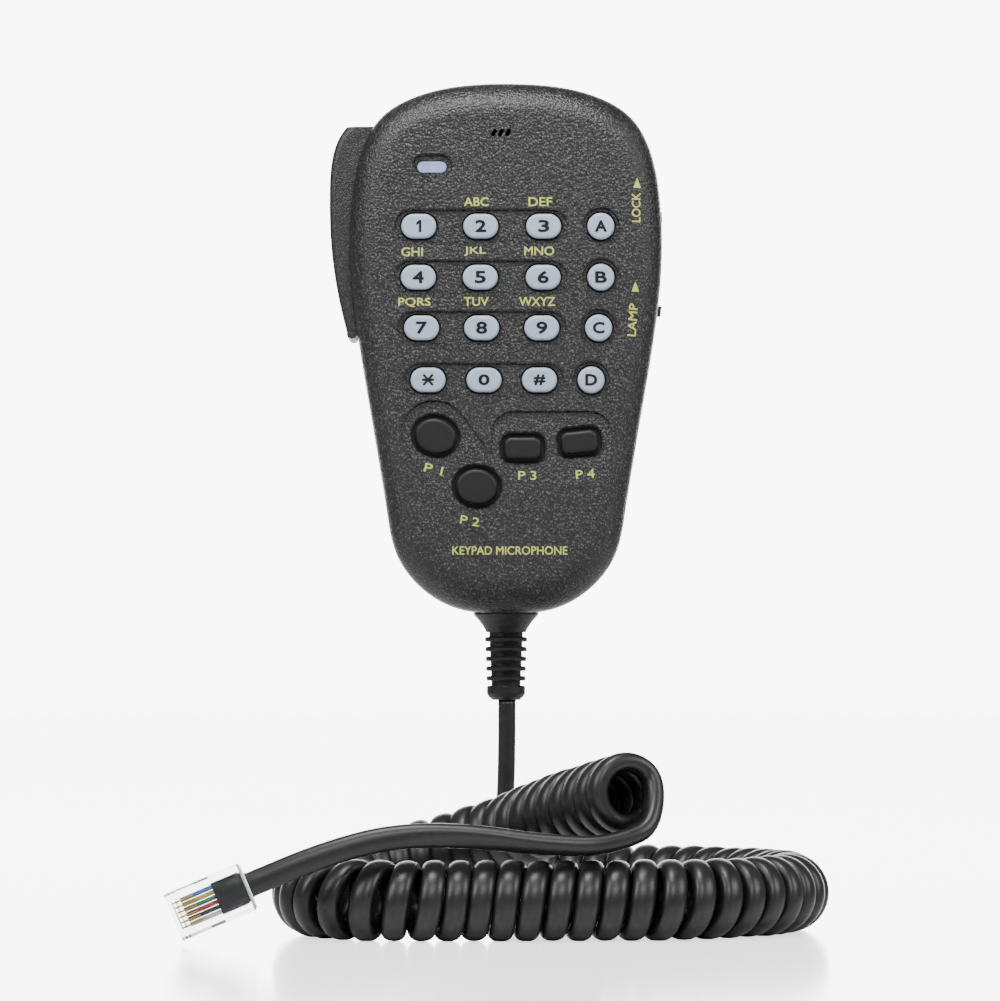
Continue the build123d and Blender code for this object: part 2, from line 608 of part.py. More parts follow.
def inner_wires():
    """Six wires from the cord's inner end to the board's connector."""
    wires = []
    for number in range(6):
        x = (number - 2.5) * 1.3
        points = [(x, CORD_Y, RELIEF_TOP_Z), (x, CORD_Y, -60.5), (x, -19.6, -55.0), (x, -19.6, -51.0)]
        path = FilletPolyline(*points, radius=1.8)
        wires.append(sweep(Plane(path @ 0, z_dir=path % 0) * Circle(0.5), path=path))
    return together(wires)


def cord_tie():
    """The tie round the wires, just above the strain relief."""
    band = Pos(0, CORD_Y, -64.6) * (Box(9.6, 3.0, 1.4) - Box(7.7, 1.2, 2))
    return band + block(4.0, 6.0, CORD_Y - 1.6, CORD_Y + 1.6, -65.4, -63.8)


def plug_plane():
    """The plug's own frame, with its origin where the lead enters it."""
    rear = Vector(on_floor([LEAD_ROUTE[-1]])[0])
    nose = Vector(on_floor([PLUG_NOSE])[0])
    along = (nose - rear).normalized()
    across = Vector(0, 1, 0).cross(along).normalized()
    return Plane(rear, x_dir=across, z_dir=along)


def contact_places():
    """Where each contact stands across the plug."""
    return [(number - (CONTACTS - 1) / 2) * CONTACT_PITCH for number in range(CONTACTS)]


def plug_shell():
    """The clear housing: open at the rear for the lead, slotted at the nose for the contacts."""
    half_w, half_t = PLUG_WIDTH / 2, PLUG_THICK / 2
    shell = block(-half_w, half_w, -half_t, half_t, 0, PLUG_LENGTH)
    shell = chamfer(shell.edges().filter_by(Axis.Z), 0.5)
    shell -= block(-3.5, 3.5, -1.75, 1.75, -1, 7.0)
    shell -= block(-3.3, 3.3, -0.75, 0.75, 7.0, 13.4)
    shell -= block(-2.8, 2.8, -half_t - 1, -1.9, 3.4, 5.4)
    for x in contact_places():
        shell -= block(x - 0.26, x + 0.26, -half_t - 1, -0.2, 10.2, PLUG_LENGTH - 0.9)
    shoulder = block(-half_w, half_w, -half_t - 1, -half_t + 0.7, 6.4, 9.4)
    return shell - shoulder


def plug_parts():
    """The plug's housing, contacts, wires and latch, laid where the lead ends."""
    half_t = PLUG_THICK / 2
    contacts = [block(x - 0.17, x + 0.17, -half_t + 0.35, -0.95, 10.4, PLUG_LENGTH - 1.1)
                for x in contact_places()]
    wires = []
    for x in contact_places():
        wire = Pos(x, 0, 5.0) * extrude(Circle(0.45), amount=8.0)
        wires.append(wire - block(x - 0.3, x + 0.3, -1, -0.44, 10, 14))
    turn = Pos(0, half_t + LATCH_HINGE_Y, PLUG_LENGTH - LATCH_HINGE_Z)
    arm = turn * Rot(10, 0, 0) * block(-LATCH_WIDTH / 2, LATCH_WIDTH / 2, -0.45, 0.5, -11.2, 0)
    arm += turn * bar_x(0, 0, LATCH_HINGE_RADIUS, -2.9, 2.9)
    where = plug_plane().location
    pieces = {"plug_body": plug_shell(), "plug_contacts": together(contacts),
              "plug_wires": together(wires), "plug_latch": arm}
    return {name: where * piece for name, piece in pieces.items()}


def everything():
    """Every node by name."""
    outside = case_solid()
    nodes = {"front_cover": front_cover(), "rear_cover": rear_cover()}
    nodes.update(ptt_parts())
    nodes.update(keys())
    nodes.update({"keypad_mat": keypad_mat(), "led_lens": lens()})
    nodes.update(electronics())
    nodes.update(microphone())
    nodes["lock_slider"] = slider(LOCK_Z, LOCK_PROUD, outside)
    nodes["lamp_slider"] = slider(LAMP_Z, LAMP_PROUD, outside)
    nodes["down_button"] = push_button(-BUTTON_X, outside)
    nodes["up_button"] = push_button(BUTTON_X, outside)
    nodes.update(hanger())
    nodes.update(screws())
    nodes.update({"strain_relief": strain_relief(), "inner_wires": inner_wires(), "cord_tie": cord_tie()})
    nodes.update(cords())
    nodes.update(plug_parts())
    return nodes


os.makedirs("parts", exist_ok=True)
for node_name, node in everything().items():
    export_step(node, os.path.join("parts", node_name + ".step"))
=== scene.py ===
"""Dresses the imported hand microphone: finishes, printed legends, curly cord, plug and stage.

Everything is in metres, in the model's own frame: +X right, +Y out of the back, +Z up.
"""

import math

import bpy
import numpy as np
from bpy.props import FloatProperty, FloatVectorProperty, IntProperty, PointerProperty
from bpy.types import Operator, Panel, PropertyGroup
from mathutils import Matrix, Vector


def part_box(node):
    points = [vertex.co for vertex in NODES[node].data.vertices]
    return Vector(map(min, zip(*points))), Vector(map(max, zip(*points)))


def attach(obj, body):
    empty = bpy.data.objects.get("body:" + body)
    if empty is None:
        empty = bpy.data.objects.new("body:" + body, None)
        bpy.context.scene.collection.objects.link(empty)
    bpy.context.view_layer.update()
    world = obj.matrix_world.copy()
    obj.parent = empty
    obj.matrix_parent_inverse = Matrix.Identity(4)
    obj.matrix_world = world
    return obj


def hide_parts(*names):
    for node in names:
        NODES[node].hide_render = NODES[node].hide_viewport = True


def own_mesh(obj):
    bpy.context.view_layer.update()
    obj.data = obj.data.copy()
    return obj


bl_info = {
    "name": "Hand Microphone",
    "version": (1, 0, 0),
    "blender": (4, 5, 0),
    "location": "3D View > Sidebar > Hand Mic",
    "description": "Finishes, legends, curly cord, plug and stage for the hand microphone",
    "category": "Object",
}

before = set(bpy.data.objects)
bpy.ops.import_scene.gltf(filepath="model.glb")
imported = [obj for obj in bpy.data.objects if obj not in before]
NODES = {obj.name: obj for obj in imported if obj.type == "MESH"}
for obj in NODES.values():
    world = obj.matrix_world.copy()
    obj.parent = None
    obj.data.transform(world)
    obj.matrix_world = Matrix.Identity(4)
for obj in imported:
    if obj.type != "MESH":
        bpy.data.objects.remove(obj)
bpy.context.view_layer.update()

MM = 0.001
BODY = "microphone"
# Near-black painted onto the key caps' flanks below the face: painted shade for the gap round each key
GAP_SHADE = (0.003, 0.003, 0.0035)
STEEL = (0.55, 0.55, 0.54)
CAP_KEYS = {"key_" + name: name for name in "1234567890abcd"}
CAP_KEYS.update({"key_star": "*", "key_hash": "#"})
SOFT_KEYS = ["key_p1", "key_p2", "key_p3", "key_p4"]

FACE_TOP = 40.25     # print on the face is placed by how far it lies below this line
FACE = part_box("front_cover")[0].y
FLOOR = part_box("curly_cord")[0].z

# The cord's route, in millimetres: x, y, and z or height over the floor. It is the model's own
# route, except at the coil's left bend, which is drawn a little rounder than the model's tube
CORD_Y = -13.0
RELIEF_END = -90.9
COIL_REST = 7.85
LEAD_IN = [(0.2, CORD_Y, RELIEF_END), (0.2, CORD_Y, -104.0), (-0.4, CORD_Y, -117.0),
           (-0.5, CORD_Y, -129.75)]
COIL_ROUTE = [(-6.0, -19.2, COIL_REST), (15.0, -18.6, COIL_REST), (37.0, -20.2, COIL_REST),
              (58.0, -41.0, COIL_REST), (58.6, -71.0, COIL_REST), (38.0, -93.0, COIL_REST),
              (12.0, -95.6, COIL_REST), (-7.0, -95.0, COIL_REST), (-22.5, -97.0, COIL_REST),
              (-35.0, -90.5, COIL_REST), (-40.4, -75.0, COIL_REST), (-37.5, -58.5, 9.3),
              (-24.5, -48.8, 12.2),
              (-3.0, -49.8, 18.0), (11.0, -67.0, 24.6), (24.5, -92.0, 29.3)]
LEAD_OUT = [(29.9, -90.3, 28.4), (29.4, -94.0, 22.6), (21.6, -98.6, 18.6), (8.0, -99.6, 18.9),
            (-8.0, -99.8, 20.9), (-23.0, -101.2, 20.8), (-37.0, -103.4, 16.9), (-50.6, -105.0, 11.2)]
PLUG_NOSE = (-66.2, -106.4, 4.6)


# ---------------------------------------------------------------- settings

def colour(name, description, default):
    """A colour setting."""
    return FloatVectorProperty(name=name, description=description, subtype="COLOR", size=3,
                               min=0.0, max=1.0, default=default)


def length(name, description, default):
    """A length setting, in metres."""
    return FloatProperty(name=name, description=description, subtype="DISTANCE", unit="LENGTH",
                         default=default, precision=5)


class CaseSettings(PropertyGroup):
    """The moulded case and lever."""
    plastic: colour("Plastic", "Charcoal of the moulded case", (0.0036, 0.0037, 0.0039))
    # The grain tops' much lighter colour is a painted highlight: the glint of light on each pebble, painted
    # into the colour
    plastic_highlight: colour("Grain tops", "Charcoal where the grain stands up", (0.070, 0.072, 0.076))
    grain: length("Grain", "Width of one pebble of the case's grain", 0.00046)
    grain_height: length("Grain height", "How far a pebble stands up", 0.00017)
    lever_grain: length("Lever grain", "Width of one pebble of the lever's finer grain", 0.00026)


class KeySettings(PropertyGroup):
    """Keypad keys and programmable keys."""
    cap: colour("Key caps", "Pale blue-grey of the keypad keys", (0.25, 0.30, 0.375))
    digits: colour("Digits", "Ink on the keypad keys", (0.004, 0.004, 0.006))
    soft: colour("Soft keys", "Rubber of the programmable keys", (0.0018, 0.0018, 0.0022))
    lens: colour("Lens", "Tint of the small lens", (0.22, 0.25, 0.42))


class PrintSettings(PropertyGroup):
    """The printed legends."""
    ink: colour("Ink", "Yellow-green of the printed legends", (0.36, 0.40, 0.09))
    weight: length("Weight", "How much bolder than the plain font the legends are", 0.00003)
    digit_weight: length("Digit weight", "How much bolder than the plain font the digits are", 0.00011)
    grid: length("Grid", "Squares that the print is cut from", 0.000085)
    thickness: length("Thickness", "How far the print stands up", 0.00003)


class CordSettings(PropertyGroup):
    """The oval cord."""
    jacket: colour("Jacket", "Dark grey of the cord's jacket", (0.0048, 0.0048, 0.0052))
    wide: length("Width", "Broad side of the oval cord", 0.0049)
    thin: length("Thickness", "Narrow side of the oval cord", 0.0038)
    turn_radius: length("Turn radius", "Middle of the cord to the middle of the curly stretch", 0.0061)
    gap: FloatProperty(name="Turn gap", description="Spacing of the turns over the cord's width",
                       default=1.05, min=1.0, max=3.0)
    total: length("Length", "Whole length of the cord, measured along its turns", 2.4)


class PlugSettings(PropertyGroup):
    """The modular plug."""
    clear: colour("Housing", "Tint of the clear housing", (0.97, 0.985, 1.0))
    gold: colour("Contacts", "Gold of the contacts", (0.90, 0.60, 0.20))


class StageSettings(PropertyGroup):
    """Floor, light and camera."""
    floor: colour("Floor", "The pale floor", (0.85, 0.85, 0.86))
    glow: FloatProperty(name="Floor light", description="Light of its own that the lit floor shows",
                        default=1.5, min=0.0)
    sky: FloatProperty(name="Room light", description="Strength of the light from all round",
                       default=0.28, min=0.0)
    backdrop: FloatProperty(name="Backdrop", description="Brightness of the white wall behind",
                            default=9.0, min=0.0)
    panel: FloatProperty(name="Soft box power", description="Power of the soft boxes",
                         subtype="POWER", unit="POWER", default=8.0)
    lamps: IntProperty(name="Soft boxes", description="How many soft boxes light the stage",
                       default=4, min=1, max=4)
    distance: length("Camera distance", "From the case's face to the camera", 0.950)
    focal: FloatProperty(name="Focal length", description="Camera lens in millimetres",
                         default=160.9, min=10.0)
    tilt: FloatProperty(name="Tilt", description="Upward tilt of the camera", subtype="ANGLE",
                        unit="ROTATION", default=math.radians(2.09))


class MicSettings(PropertyGroup):
    """All settings of the microphone."""
    case: PointerProperty(type=CaseSettings, name="Case", description="Case and lever")
    keys: PointerProperty(type=KeySettings, name="Keys", description="Keys and lens")
    legends: PointerProperty(type=PrintSettings, name="Legends", description="Printed legends")
    cord: PointerProperty(type=CordSettings, name="Cord", description="Curly cord and leads")
    plug: PointerProperty(type=PlugSettings, name="Plug", description="Modular plug")
    stage: PointerProperty(type=StageSettings, name="Stage", description="Floor, light, camera")


def settings():
    """The scene's microphone settings."""
    return bpy.context.scene.hand_mic


# ---------------------------------------------------------------- materials

class Finish:
    """A material under construction: one Principled shader on object coordinates."""

    def __init__(self, name, base, roughness, metallic=0.0, specular=0.5):
        self.material = bpy.data.materials.new(name)
        self.material.use_nodes = True
        self.tree = self.material.node_tree
        self.shader = self.tree.nodes["Principled BSDF"]
        self.shader.inputs["Base Color"].default_value = (*base, 1.0)
        self.shader.inputs["Roughness"].default_value = roughness
        self.shader.inputs["Metallic"].default_value = metallic
        self.shader.inputs["Specular IOR Level"].default_value = specular
        self.place = self.node("ShaderNodeTexCoord").outputs["Object"]

    def node(self, kind, **inputs):
        """A new node with some of its inputs set, or linked where a socket is given."""
        made = self.tree.nodes.new(kind)
        for name, value in inputs.items():
            socket = made.inputs[name.replace("_", " ")]
            if isinstance(value, bpy.types.NodeSocket):
                self.tree.links.new(value, socket)
            else:
                socket.default_value = value
        return made

    def noise(self, size, detail=2.0, roughness=0.5):
        """Cloudy noise whose lumps are about size wide."""
        made = self.node("ShaderNodeTexNoise", Vector=self.place, Scale=1.0 / size, Detail=detail,
                         Roughness=roughness)
        return made.outputs["Fac"]

    def pebbles(self, size):
        """Rounded pebbles about size wide: the smooth distance to scattered centres."""
        cells = self.tree.nodes.new("ShaderNodeTexVoronoi")
        cells.feature = "SMOOTH_F1"
        self.tree.links.new(self.place, cells.inputs["Vector"])
        cells.inputs["Scale"].default_value = 1.0 / size
        cells.inputs["Smoothness"].default_value = 0.6
        return cells.outputs["Distance"]

    def ramp(self, value, low, high, dark, light):
        """A colour that goes from dark to light as value goes from low to high."""
        made = self.tree.nodes.new("ShaderNodeValToRGB")
        self.tree.links.new(value, made.inputs["Fac"])
        made.color_ramp.elements[0].position = low
        made.color_ramp.elements[1].position = high
        made.color_ramp.elements[0].color = (*dark, 1.0)
        made.color_ramp.elements[1].color = (*light, 1.0)
        return made.outputs["Color"]

    def sums(self, operation, first, second):
        """One sum of two values."""
        made = self.tree.nodes.new("ShaderNodeMath")
        made.operation = operation
        for socket, value in zip(made.inputs, (first, second)):
            if isinstance(value, bpy.types.NodeSocket):
                self.tree.links.new(value, socket)
            else:
                socket.default_value = value
        return made.outputs["Value"]

    def colours(self, value, low, high, dark, light):
        """Base colour from dark to light with value."""
        self.tree.links.new(self.ramp(value, low, high, dark, light), self.shader.inputs["Base Color"])
        return self

    def rough(self, value, low, high):
        """Roughness from low to high as value goes from 0 to 1."""
        span = self.node("ShaderNodeMapRange", Value=value, To_Min=low, To_Max=high)
        self.tree.links.new(span.outputs["Result"], self.shader.inputs["Roughness"])
        return self

    def bump(self, height, distance, strength=1.0):
        """Relief of the given depth from height."""
        made = self.node("ShaderNodeBump", Height=height, Distance=distance, Strength=strength)
        before = self.shader.inputs["Normal"].links
        if before:
            self.tree.links.new(before[0].from_socket, made.inputs["Normal"])
        self.tree.links.new(made.outputs["Normal"], self.shader.inputs["Normal"])
        return self

    def fixed(self, **values):
        """Sets shader inputs to constants."""
        for name, value in values.items():
            self.shader.inputs[name.replace("_", " ")].default_value = value
        return self


def lighter(base, factor):
    """A colour made lighter or darker."""
    return tuple(min(1.0, part * factor) for part in base)


def grained_plastic(name, base, tops, grain, height):
    """Moulded plastic with a pebble grain. The pebble tops are painted much lighter than the hollows: a
    painted highlight where the grain catches the light.
    """
    finish = Finish(name, base, 0.38, specular=0.42)
    pebbles = finish.pebbles(grain)
    cloud = finish.noise(grain * 1.7, 3.0, 0.6)
    relief = finish.sums("SUBTRACT", finish.sums("MULTIPLY", cloud, 0.9), pebbles)
    # Painted highlight: the colour goes from the dark base in the hollows to the far lighter tops
    finish.colours(relief, 0.12, 0.42, base, tops)
    finish.rough(finish.noise(0.006, 3.0), 0.30, 0.44)
    return finish.bump(relief, height, 1.0).material


def satin_plastic(name, base, roughness, speck=0.0003, depth=0.000004, spread=1.25):
    """Plain moulded plastic: a little colour variation and a very fine surface."""
    finish = Finish(name, base, roughness)
    finish.colours(finish.noise(0.004, 3.0), 0.35, 0.65, lighter(base, 1 / spread),
                   lighter(base, spread))
    finish.rough(finish.noise(0.0015, 2.0), roughness * 0.85, roughness * 1.15)
    return finish.bump(finish.noise(speck, 2.0), depth).material


def key_plastic(base):
    """Pale key cap with a satin face. Below the face its flanks are painted near-black: painted shade for
    the gap round each key.
    """
    finish = Finish("key_caps", base, 0.38)
    # Painted shade: from 0.2 to 0.6 mm behind the face the cap's colour goes over to near-black
    depth = finish.node("ShaderNodeSeparateXYZ", Vector=finish.place).outputs["Y"]
    gap_shade = finish.node("ShaderNodeMapRange", Value=depth, From_Min=FACE + 0.2 * MM,
                       From_Max=FACE + 0.6 * MM)
    pale = finish.ramp(finish.noise(0.003, 3.0), 0.3, 0.7, lighter(base, 0.94), lighter(base, 1.05))
    mix = finish.node("ShaderNodeMix")
    mix.data_type = "RGBA"
    finish.tree.links.new(gap_shade.outputs["Result"], mix.inputs[0])
    finish.tree.links.new(pale, mix.inputs[6])
    mix.inputs[7].default_value = (*GAP_SHADE, 1.0)
    finish.tree.links.new(mix.outputs[2], finish.shader.inputs["Base Color"])
    finish.rough(finish.noise(0.0008, 3.0), 0.34, 0.46)
    finish.fixed(Coat_Weight=0.1, Coat_Roughness=0.3)
    return finish.bump(finish.noise(0.0002, 2.0), 0.000003).material


def capsule_can():
    """Drawn aluminium, and black felt for all that lies in front of the felt's back."""
    felt_back, blend = -25.4 * MM, 0.2 * MM
    finish = Finish("mic_capsule", (0.5, 0.5, 0.5), 0.35)
    depth = finish.node("ShaderNodeSeparateXYZ", Vector=finish.place).outputs["Y"]
    can = finish.node("ShaderNodeMapRange", Value=depth, From_Min=felt_back - blend,
                      From_Max=felt_back + blend).outputs["Result"]
    finish.colours(can, 0.0, 1.0, (0.002, 0.002, 0.002), (0.6, 0.6, 0.6))
    finish.tree.links.new(can, finish.shader.inputs["Metallic"])
    finish.rough(finish.sums("SUBTRACT", 1.0, can), 0.3, 0.95)
    return finish.bump(finish.noise(0.0002, 3.0), 0.00002).material


def soft_rubber(name, base, roughness=0.5):
    """Satin rubber with a fine dull surface."""
    finish = Finish(name, base, roughness, specular=0.3)
    finish.colours(finish.noise(0.002, 4.0), 0.3, 0.7, lighter(base, 0.8), lighter(base, 1.35))
    finish.rough(finish.noise(0.001, 3.0), roughness * 0.85, roughness * 1.15)
    finish.fixed(Sheen_Weight=0.02, Sheen_Roughness=0.5)
    return finish.bump(finish.noise(0.00018, 3.0), 0.000008).material


def metal(name, base, roughness, brushed=0.0004):
    """Plated or turned metal, with faint marks."""
    finish = Finish(name, base, roughness, metallic=1.0)
    finish.colours(finish.noise(0.002, 3.0), 0.3, 0.7, lighter(base, 0.85), base)
    finish.rough(finish.noise(brushed, 3.0), roughness * 0.7, roughness * 1.4)
    return finish.bump(finish.noise(brushed, 2.0), 0.000004).material


def printed_ink(name, base):
    """Screen-printed ink, slightly uneven."""
    finish = Finish(name, base, 0.55, specular=0.15)
    finish.colours(finish.noise(0.0004, 3.0), 0.3, 0.7, lighter(base, 0.82), lighter(base, 1.1))
    return finish.bump(finish.noise(0.0003, 2.0), 0.00001).material


def window_lens(base):
    """A frosted light pipe with a glossy face."""
    finish = Finish("lens", base, 0.18)
    finish.colours(finish.noise(0.002, 2.0), 0.3, 0.7, lighter(base, 0.9), lighter(base, 1.15))
    finish.fixed(Coat_Weight=0.3, Coat_Roughness=0.1)
    return finish.bump(finish.noise(0.0012, 2.0), 0.00001).material


def cord_jacket(base):
    """Satin vinyl jacket: faint drawn lines, dust and a soft shine."""
    finish = Finish("cord_jacket", base, 0.36, specular=0.38)
    finish.colours(finish.noise(0.003, 4.0, 0.6), 0.3, 0.75, lighter(base, 0.85), lighter(base, 1.7))
    finish.rough(finish.noise(0.0015, 3.0), 0.30, 0.46)
    finish.bump(finish.noise(0.0009, 2.0), 0.00002, 0.6)
    return finish.bump(finish.noise(0.0002, 2.0), 0.000006).material


def clear_housing(tint):
    """Clear moulded polycarbonate."""
    finish = Finish("clear_housing", tint, 0.05)
    finish.fixed(Transmission_Weight=1.0, IOR=1.585)
    finish.rough(finish.noise(0.002, 2.0), 0.02, 0.10)
    return finish.bump(finish.noise(0.0025, 1.0), 0.00003, 0.5).material


def board_green():
    """Solder mask with the tracks showing through."""
    finish = Finish("board_green", (0.02, 0.13, 0.06), 0.35)
    cells = finish.pebbles(0.0035)
    return finish.colours(cells, 0.2, 0.5, (0.015, 0.16, 0.07), (0.01, 0.09, 0.045)).material


def wire_colours(across):
    """Six wire colours in bands across the plug: across is the vector from one to the next."""
    finish = Finish("wire_colours", (0.5, 0.5, 0.5), 0.35)
    origin, step = across
    offset = finish.node("ShaderNodeVectorMath", Vector=finish.place)
    offset.operation = "SUBTRACT"
    offset.inputs[1].default_value = origin
    along = finish.tree.nodes.new("ShaderNodeVectorMath")
    along.operation = "DOT_PRODUCT"
    finish.tree.links.new(offset.outputs["Vector"], along.inputs[0])
    along.inputs[1].default_value = step
    bands = finish.tree.nodes.new("ShaderNodeValToRGB")
    bands.color_ramp.interpolation = "CONSTANT"
    shades = [(0.75, 0.75, 0.72), (0.02, 0.02, 0.02), (0.62, 0.03, 0.03), (0.03, 0.30, 0.10),
              (0.75, 0.55, 0.04), (0.03, 0.18, 0.50)]
    for number, shade in enumerate(shades):
        stops = bands.color_ramp.elements
        stop = stops[number] if number < 2 else stops.new(number / len(shades))
        stop.position = number / len(shades)
        stop.color = (*shade, 1.0)
    finish.tree.links.new(along.outputs["Value"], bands.inputs["Fac"])
    finish.tree.links.new(bands.outputs["Color"], finish.shader.inputs["Base Color"])
    return finish.bump(finish.noise(0.0003, 2.0), 0.00001).material


def paint(material, *names):
    """Gives the model's own nodes a material."""
    for name in names:
        mesh = NODES[name].data
        mesh.materials.clear()
        mesh.materials.append(material)


# ---------------------------------------------------------------- surfaces

def unit(vectors):
    """Vectors scaled to length one."""
    return vectors / np.linalg.norm(vectors, axis=-1, keepdims=True)


def new_piece(name, points, faces, material, body=BODY, smooth=True):
    """A piece with the given points and faces, riding on a body."""
    mesh = bpy.data.meshes.new(name)
    mesh.from_pydata(points.tolist(), [], faces)
    mesh.polygons.foreach_set("use_smooth", np.full(len(mesh.polygons), smooth))
    mesh.materials.append(material)
    piece = bpy.data.objects.new(name, mesh)
    bpy.context.scene.collection.objects.link(piece)
    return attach(piece, body)


def tube_faces(stations, sides):
    """The faces of a tube: a quad between each two stations and sides, and a face at each end."""
    start = np.arange(stations - 1)[:, None] * sides
    side = np.arange(sides)[None, :]
    after = (side + 1) % sides
    quads = np.stack([start + side, start + after, start + sides + after, start + sides + side], -1)
    first = list(range(sides - 1, -1, -1))
    last = list(range((stations - 1) * sides, stations * sides))
    return quads.reshape(-1, 4).tolist() + [first, last]


def oval_tube(path, broad, wide, thin, sides=20):
    """Points of a tube that follows path: at each station a rounded oval, wide along broad and thin
    across it. The oval is cos and sin of the angle, each drawn out a little towards a rectangle."""
    tangent = unit(np.gradient(path, axis=0))
    broad = unit(broad - (broad * tangent).sum(1, keepdims=True) * tangent)
    across = np.cross(tangent, broad)
    angle = np.arange(sides) / sides * 2 * np.pi
    squareness = 0.86
    far = np.sign(np.cos(angle)) * np.abs(np.cos(angle)) ** squareness / 2
    near = np.sign(np.sin(angle)) * np.abs(np.sin(angle)) ** squareness / 2
    out = (wide[:, None] * far)[:, :, None] * broad[:, None, :]
    return (path[:, None, :] + out + (thin[:, None] * near)[:, :, None] * across[:, None, :]).reshape(-1, 3)


# ---------------------------------------------------------------- cord

def over_floor(route):
    """A route with heights over the floor, in metres and in the model's frame."""
    return np.array(route) * MM + np.array([0, 0, FLOOR])


def evenly(points, spacing):
    """Points at even steps along a line of points."""
    steps = np.linalg.norm(np.diff(points, axis=0), axis=1)
    along = np.concatenate([[0], np.cumsum(steps)])
    keep = np.concatenate([[True], steps > 1e-9])
    wanted = np.linspace(0, along[-1], max(2, int(round(along[-1] / spacing)) + 1))
    return np.stack([np.interp(wanted, along[keep], points[keep, axis]) for axis in range(3)], 1)


def spline_line(points, spacing):
    """Points at even steps along the smooth spline with these control points."""
    curve = bpy.data.curves.new("route", "CURVE")
    curve.dimensions = "3D"
    curve.resolution_u = 32
    spline = curve.splines.new("NURBS")
    spline.points.add(len(points) - 1)
    spline.points.foreach_set("co", np.column_stack([points, np.ones(len(points))]).ravel())
    spline.order_u = 3
    spline.use_endpoint_u = True
    holder = bpy.data.objects.new("route", curve)
    line = bpy.data.meshes.new_from_object(holder)
    found = np.empty(len(line.vertices) * 3)
    line.vertices.foreach_get("co", found)
    bpy.data.objects.remove(holder)
    bpy.data.curves.remove(curve)
    bpy.data.meshes.remove(line)
    return evenly(found.reshape(-1, 3), spacing)


def smoothed(values, window):
    """A running mean over window entries, with the ends held."""
    padded = np.pad(values, ((window, window), (0, 0)), mode="edge")
    kernel = np.hanning(2 * window + 1)
    kernel /= kernel.sum()
    return np.stack([np.convolve(padded[:, axis], kernel, "valid") for axis in range(values.shape[1])], 1)


def curly_line(axis, spacing, radius, wide, gap):
    """The helix round axis, and the axis's direction at each of its points. It starts behind the
    axis going down, turns left-handed, and has a whole number of turns. Each turn is about as far
    from the next as the cord is wide, and a little farther where the axis bends."""
    tangent = unit(np.gradient(axis, axis=0))
    step = np.linalg.norm(axis[1] - axis[0])
    bend = np.linalg.norm(smoothed(np.gradient(tangent, axis=0) / step, int(0.014 / step)), axis=1)
    pitch = wide * gap / (1 - np.minimum(0.3 * radius * bend, 0.2))
    turns = np.concatenate([[0], np.cumsum(step / pitch)[:-1]])
    turns *= round(turns[-1]) / turns[-1]
    stations = np.linspace(0, 1, int(turns[-1] * 2 * np.pi * radius / spacing))
    where = np.linspace(0, 1, len(axis))
    at = np.interp(stations, turns / turns[-1], where)
    middle = np.stack([np.interp(at, where, axis[:, k]) for k in range(3)], 1)
    heading = unit(np.stack([np.interp(at, where, tangent[:, k]) for k in range(3)], 1))
    side = unit(np.cross(heading, [0, 0, 1.0]))
    lift = np.cross(side, heading)
    phase = (np.pi + 2 * np.pi * stations * turns[-1])[:, None]
    uneven = radius * (1 + 0.012 * np.sin(0.37 * phase) + 0.008 * np.sin(0.171 * phase))
    return middle + uneven * (np.cos(phase) * side + np.sin(phase) * lift), heading


def ease(count):
    """Weights that go smoothly from 0 to 1."""
    along = np.linspace(0, 1, count)[:, None]
    return along * along * (3 - 2 * along)


def collar(centre, across, through, along):
    """The light rim at the plug's mouth: a rounded rectangle carried round as a thin band. Each
    point of the band's square section is the rectangle's point, pushed out and along by the section."""
    angle = np.linspace(0, 2 * np.pi, 64, endpoint=False)
    cos, sin = np.cos(angle), np.sin(angle)
    round_x, round_y = np.sign(cos) * np.abs(cos) ** 0.35, np.sign(sin) * np.abs(sin) ** 0.35
    section = [(3.55, 1.85, -0.0003), (4.45, 2.85, -0.0003), (4.45, 2.85, 0.0004), (3.55, 1.85, 0.0004)]
    rings = [centre + np.outer(round_x * half_x * MM, across) + np.outer(round_y * half_y * MM, through)
             + along * ahead for half_x, half_y, ahead in section]
    count = len(angle)
    one, two = np.arange(count), (np.arange(count) + 1) % count
    faces = [np.stack([first * count + one, first * count + two, second * count + two,
                       second * count + one], 1) for first, second in ((0, 1), (1, 2), (2, 3), (3, 0))]
    return np.vstack(rings), np.vstack(faces)[:, ::-1].tolist()


def plug_frame():
    """The plug's origin and its directions across the contacts, through, and to the nose."""
    rear, nose = over_floor([LEAD_OUT[-1], PLUG_NOSE])
    along = unit(nose - rear)
    across = unit(np.cross([0, 1.0, 0], along))
    return rear, across, np.cross(along, across), along


def cord_line(cord):
    """The whole cord's middle line from the relief to inside the plug, and its broad direction."""
    spacing = 0.0009
    lead_in = spline_line(np.array(LEAD_IN) * MM, spacing)
    coil_axis = spline_line(over_floor(COIL_ROUTE), spacing)
    start = np.searchsorted(coil_axis[:80, 0], lead_in[-1, 0])
    coil, heading = curly_line(coil_axis[start:], spacing, cord.turn_radius, cord.wide, cord.gap)
    rear, across, _, along = plug_frame()
    inside = rear + along * 0.0064
    lead_out = spline_line(np.vstack([over_floor(LEAD_OUT[1:]), inside]), spacing)
    line = np.vstack([lead_in, coil[3:], lead_out])
    down = np.clip(4 * ease(len(lead_in)) - 3, 0, 1)
    broad_in = (1 - down) * np.array([0, 1.0, 0]) + down * heading[0]
    turn = np.minimum(1, 1.6 * ease(len(lead_out)))
    broad_out = (1 - turn) * heading[-1] + turn * across
    broad = np.vstack([broad_in, heading[3:], broad_out])
    joints = [len(lead_in), len(lead_in) + len(coil) - 3]
    return blended(line, joints), smoothed(broad, 6)


